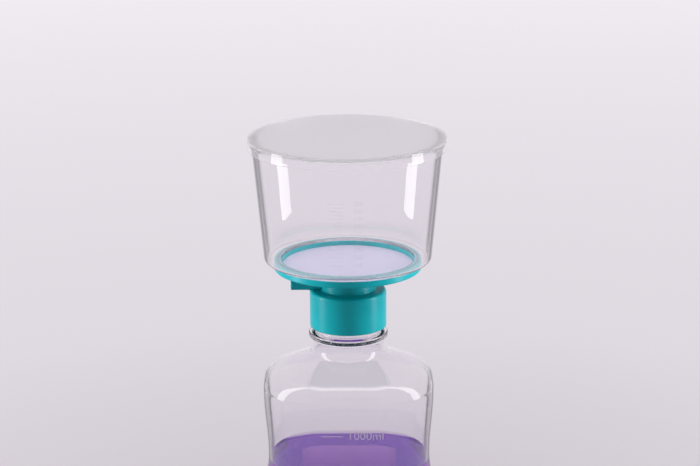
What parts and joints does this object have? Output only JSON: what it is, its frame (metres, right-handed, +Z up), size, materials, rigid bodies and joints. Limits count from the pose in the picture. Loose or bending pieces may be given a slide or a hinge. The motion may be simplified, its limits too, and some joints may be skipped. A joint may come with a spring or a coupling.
{
  "type": "bottle-top vacuum filtration unit",
  "caption": "Clear funnel with lid over a teal membrane filter base with hose nozzle, screwed on a rectangular waisted bottle that holds purple filtrate.",
  "frame": {"origin": "centre of the bottle's foot, on the surface that it stands on", "axes": "+Z up along the common axis of bottle and funnel; the hose nozzle points along -X"},
  "size_m": [0.1292, 0.1292, 0.3006],
  "materials": {
    "clear_plastic": "clear polished polystyrene",
    "teal_plastic": "moulded, glossy, slightly translucent teal",
    "membrane_white": "fine matt filter membrane",
    "seal_rubber": "soft matt silicone",
    "purple_liquid": "clear purple liquid"
  },
  "bodies": {
    "bottle": {"bottle": "clear_plastic", "filtrate": "purple_liquid"},
    "seal": {"sealing_ring": "seal_rubber"},
    "head": {"filter_base": "teal_plastic", "membrane": "membrane_white", "funnel": "clear_plastic"},
    "lid": {"lid": "clear_plastic"}
  },
  "joints": [
    {"name": "head_rise", "type": "slide", "parent": "bottle", "child": "seal", "axis": [0, 0, 1], "range_m": [0, 0.0241]},
    {"name": "head_unscrew", "type": "hinge", "parent": "seal", "child": "head", "pos_m": [0, 0, 0.196], "axis": [0, 0, 1], "range_deg": [0, 2160]},
    {"name": "lid_lift", "type": "slide", "parent": "head", "child": "lid", "axis": [0, 0, 1], "range_m": [0, 0.06]}
  ],
  "couplings": [
    {"joint": "head_rise", "follows": "head_unscrew", "m_per_rad": 0.00063662}
  ]
}
